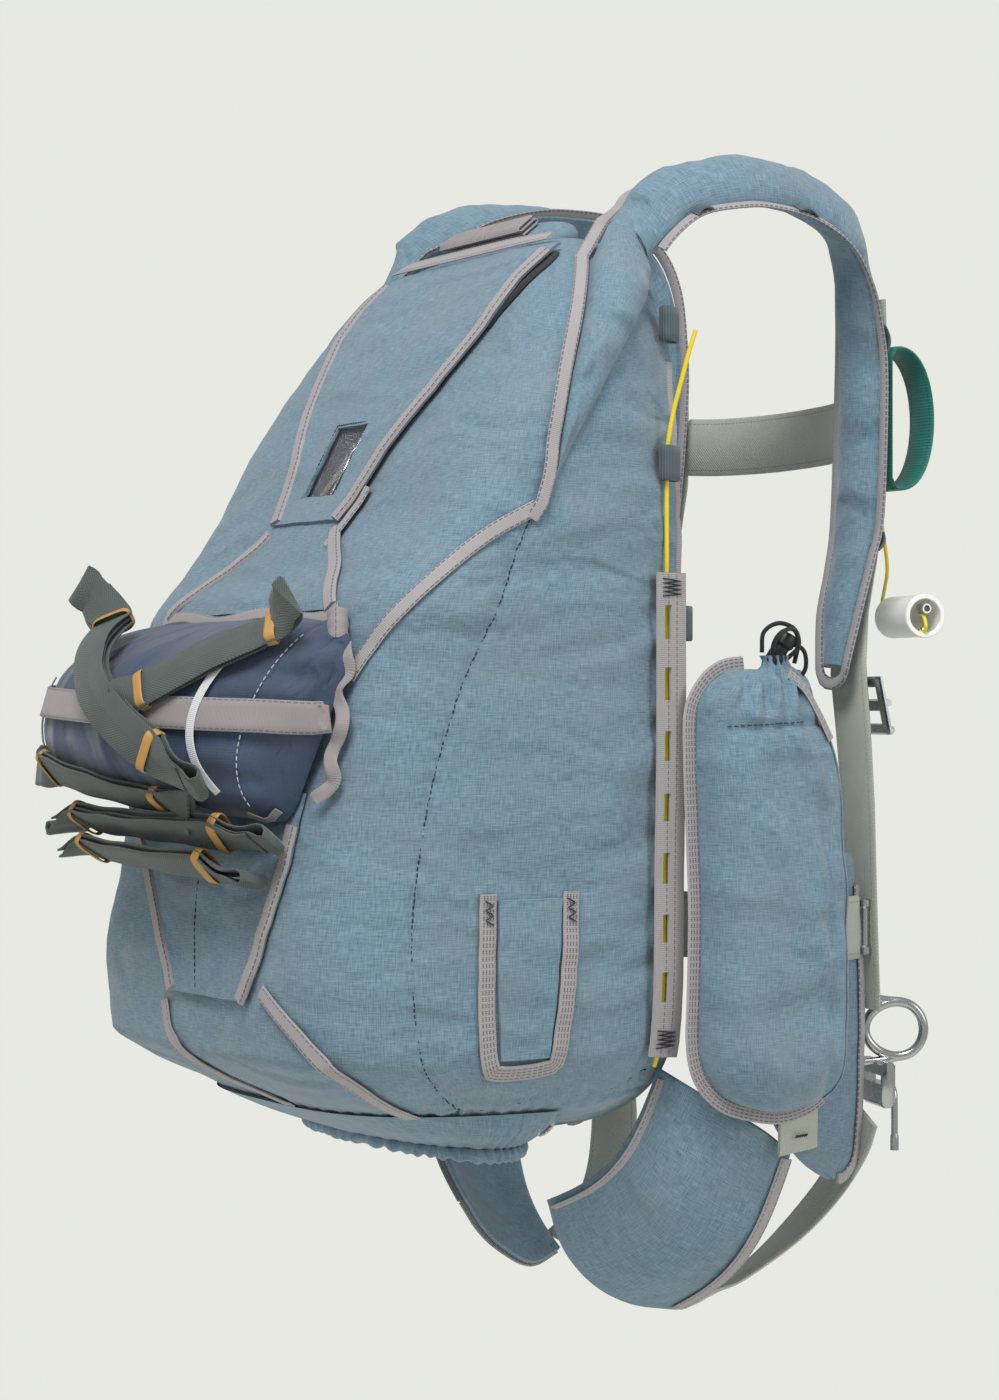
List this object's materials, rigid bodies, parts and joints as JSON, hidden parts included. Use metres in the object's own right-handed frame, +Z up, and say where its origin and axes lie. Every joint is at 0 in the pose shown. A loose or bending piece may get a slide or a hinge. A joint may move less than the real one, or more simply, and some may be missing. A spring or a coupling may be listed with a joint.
{
  "type": "packed parachute container with harness",
  "caption": "Packed parachute container with padded harness, side pocket, strapped bag, release handles and quick snaps, closed round the space of its wearer.",
  "frame": {"origin": "at the nape of the wearer's neck, at the top of the container's back pad", "axes": "+X is the wearer's right, +Y is the wearer's front, +Z is up along the wearer's back; the container lies on the -Y side"},
  "size_m": [0.4312, 0.5873, 0.7879],
  "materials": {
    "container_cloth": "woven heathered nylon, matte",
    "binding_tape": "ribbed binding tape, matte",
    "harness_webbing": "flat harness webbing, matte",
    "bag_webbing": "flat webbing, matte",
    "bag_cloth": "plain nylon, matte",
    "keeper_webbing": "narrow webbing, matte",
    "green_webbing": "flat webbing, matte",
    "yellow_coating": "coated steel cable, glossy",
    "white_pvc": "glossy tube",
    "black_plastic": "moulded, satin",
    "forged_steel": "plated, bright",
    "clear_film": "clear flexible film"
  },
  "bodies": {
    "rig": {"container": "container_cloth", "collar_panel": "container_cloth", "collar_tape": "binding_tape", "collar_grip": "binding_tape", "shoulder_strap_R": "container_cloth", "shoulder_strap_L": "container_cloth", "strap_tape_R": "binding_tape", "strap_tape_L": "binding_tape", "top_flap": "container_cloth", "top_flap_tape_R": "binding_tape", "top_flap_tape_L": "binding_tape", "window_pane": "clear_film", "mid_panel": "container_cloth", "mid_tape_R": "binding_tape", "mid_tape_L": "binding_tape", "v_tape_R": "binding_tape", "v_tape_L": "binding_tape", "bottom_flap": "container_cloth", "bottom_tape_R": "binding_tape", "bottom_tape_L": "binding_tape", "lower_tape_R": "binding_tape", "gathered_hem": "container_cloth", "patch_pocket": "container_cloth", "patch_pocket_tape": "binding_tape", "side_strip_R": "binding_tape", "locking_cable": "yellow_coating", "keeper_loop_1": "keeper_webbing", "keeper_loop_2": "keeper_webbing", "keeper_loop_3": "keeper_webbing", "side_pocket": "container_cloth", "side_pocket_tape": "binding_tape", "cord_lock": "black_plastic", "lift_web_R": "harness_webbing", "lift_web_L": "harness_webbing", "chest_strap": "harness_webbing", "adapter_R": "forged_steel", "adapter_L": "forged_steel", "hip_pad_R": "container_cloth", "hip_pad_L": "container_cloth", "hip_web_R": "harness_webbing", "hip_web_L": "harness_webbing", "leg_pad_R": "container_cloth", "leg_pad_L": "container_cloth", "leg_web_R": "harness_webbing", "leg_web_L": "harness_webbing", "v_ring_R": "forged_steel", "v_ring_L": "forged_steel", "snap_body_R": "forged_steel", "snap_body_L": "forged_steel", "green_handle": "green_webbing", "tube_handle": "white_pvc", "handle_cable": "yellow_coating", "bag": "bag_cloth", "bag_stripe": "binding_tape", "web_fold_1": "bag_webbing", "web_fold_2": "bag_webbing", "web_fold_3": "bag_webbing", "web_fold_4": "bag_webbing"},
    "lever_R": {"snap_lever_R": "forged_steel"},
    "lever_L": {"snap_lever_L": "forged_steel"}
  },
  "joints": [
    {"name": "snap_release_R", "type": "hinge", "parent": "rig", "child": "lever_R", "pos_m": [0.16414, 0.17111, -0.5785], "axis": [0.9511, -0.309, 0], "range_deg": [0, 80], "stiffness_Nm_per_rad": 0.05},
    {"name": "snap_release_L", "type": "hinge", "parent": "rig", "child": "lever_L", "pos_m": [-0.16414, 0.17111, -0.5785], "axis": [0.9511, 0.309, 0], "range_deg": [0, 80], "stiffness_Nm_per_rad": 0.05}
  ]
}
